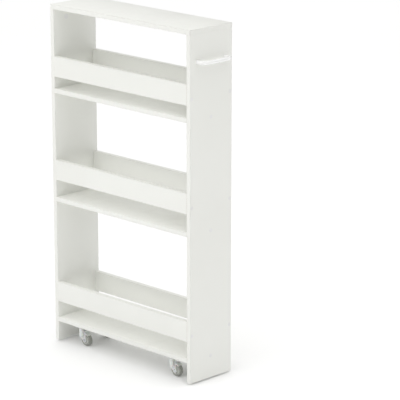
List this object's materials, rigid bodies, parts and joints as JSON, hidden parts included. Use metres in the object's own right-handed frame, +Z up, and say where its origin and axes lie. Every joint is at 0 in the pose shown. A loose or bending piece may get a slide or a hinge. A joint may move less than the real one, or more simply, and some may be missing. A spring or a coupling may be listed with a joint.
{
  "type": "rolling pantry cart",
  "caption": "Slim white board cart on swivel casters, open front and back, with three railed shelves and a bow handle on one end.",
  "frame": {"origin": "on the floor, under the middle of the whole cart with its handle", "axes": "+Z up, the front faces -Y, the handle is on the +X end"},
  "size_m": [0.5294, 0.145, 0.9],
  "materials": {
    "white_laminate": "satin white melamine on particle board, with banded edges",
    "handle_white": "glossy white powder coat",
    "cap_white": "matte white foil",
    "dowel_beech": "plain beech",
    "cam_zinc": "die-cast zinc",
    "screw_steel": "zinc plated",
    "plate_white": "white paint",
    "caster_white": "moulded white nylon",
    "hub_grey": "moulded light grey",
    "tyre_grey": "soft grey tread",
    "washer_nylon": "natural nylon",
    "pin_steel": "zinc plated"
  },
  "bodies": {
    "cabinet": {"back_left_caster_plate": "plate_white", "back_left_retaining_ring": "pin_steel", "back_left_swivel_pin": "pin_steel", "back_left_thrust_washer": "washer_nylon", "back_right_caster_plate": "plate_white", "back_right_retaining_ring": "pin_steel", "back_right_swivel_pin": "pin_steel", "back_right_thrust_washer": "washer_nylon", "bottom_back_rail": "white_laminate", "bottom_front_rail": "white_laminate", "bottom_shelf": "white_laminate", "bow_handle": "handle_white", "cam_bolts": "screw_steel", "cams": "cam_zinc", "caster_screws": "screw_steel", "dowels": "dowel_beech", "front_left_caster_plate": "plate_white", "front_left_retaining_ring": "pin_steel", "front_left_swivel_pin": "pin_steel", "front_left_thrust_washer": "washer_nylon", "front_right_caster_plate": "plate_white", "front_right_retaining_ring": "pin_steel", "front_right_swivel_pin": "pin_steel", "front_right_thrust_washer": "washer_nylon", "handle_screws": "screw_steel", "left_side_panel": "white_laminate", "middle_back_rail": "white_laminate", "middle_front_rail": "white_laminate", "middle_shelf": "white_laminate", "panel_screws": "screw_steel", "right_side_panel": "white_laminate", "screw_cover_caps": "cap_white", "top_panel": "white_laminate", "upper_back_rail": "white_laminate", "upper_front_rail": "white_laminate", "upper_shelf": "white_laminate"},
    "front_left_fork_body": {"front_left_fork": "caster_white", "front_left_axle": "pin_steel"},
    "front_left_wheel_body": {"front_left_wheel_hub": "hub_grey", "front_left_tyre": "tyre_grey"},
    "front_right_fork_body": {"front_right_fork": "caster_white", "front_right_axle": "pin_steel"},
    "front_right_wheel_body": {"front_right_wheel_hub": "hub_grey", "front_right_tyre": "tyre_grey"},
    "back_left_fork_body": {"back_left_fork": "caster_white", "back_left_axle": "pin_steel"},
    "back_left_wheel_body": {"back_left_wheel_hub": "hub_grey", "back_left_tyre": "tyre_grey"},
    "back_right_fork_body": {"back_right_fork": "caster_white", "back_right_axle": "pin_steel"},
    "back_right_wheel_body": {"back_right_wheel_hub": "hub_grey", "back_right_tyre": "tyre_grey"}
  },
  "joints": [
    {"name": "front_left_swivel", "type": "hinge", "parent": "cabinet", "child": "front_left_fork_body", "pos_m": [-0.1823, -0.056, 0.045], "axis": [0, 0, 1], "continuous": true},
    {"name": "front_left_wheel_spin", "type": "hinge", "parent": "front_left_fork_body", "child": "front_left_wheel_body", "pos_m": [-0.1773, -0.0416, 0.016], "axis": [0, 1, 0], "continuous": true},
    {"name": "front_right_swivel", "type": "hinge", "parent": "cabinet", "child": "front_right_fork_body", "pos_m": [0.1537, -0.056, 0.045], "axis": [0, 0, 1], "continuous": true},
    {"name": "front_right_wheel_spin", "type": "hinge", "parent": "front_right_fork_body", "child": "front_right_wheel_body", "pos_m": [0.1587, -0.0416, 0.016], "axis": [0, 1, 0], "continuous": true},
    {"name": "back_left_swivel", "type": "hinge", "parent": "cabinet", "child": "back_left_fork_body", "pos_m": [-0.1823, 0.056, 0.045], "axis": [0, 0, 1], "continuous": true},
    {"name": "back_left_wheel_spin", "type": "hinge", "parent": "back_left_fork_body", "child": "back_left_wheel_body", "pos_m": [-0.1873, 0.0416, 0.016], "axis": [0, 1, 0], "continuous": true},
    {"name": "back_right_swivel", "type": "hinge", "parent": "cabinet", "child": "back_right_fork_body", "pos_m": [0.1537, 0.056, 0.045], "axis": [0, 0, 1], "continuous": true},
    {"name": "back_right_wheel_spin", "type": "hinge", "parent": "back_right_fork_body", "child": "back_right_wheel_body", "pos_m": [0.1487, 0.0416, 0.016], "axis": [0, 1, 0], "continuous": true}
  ]
}
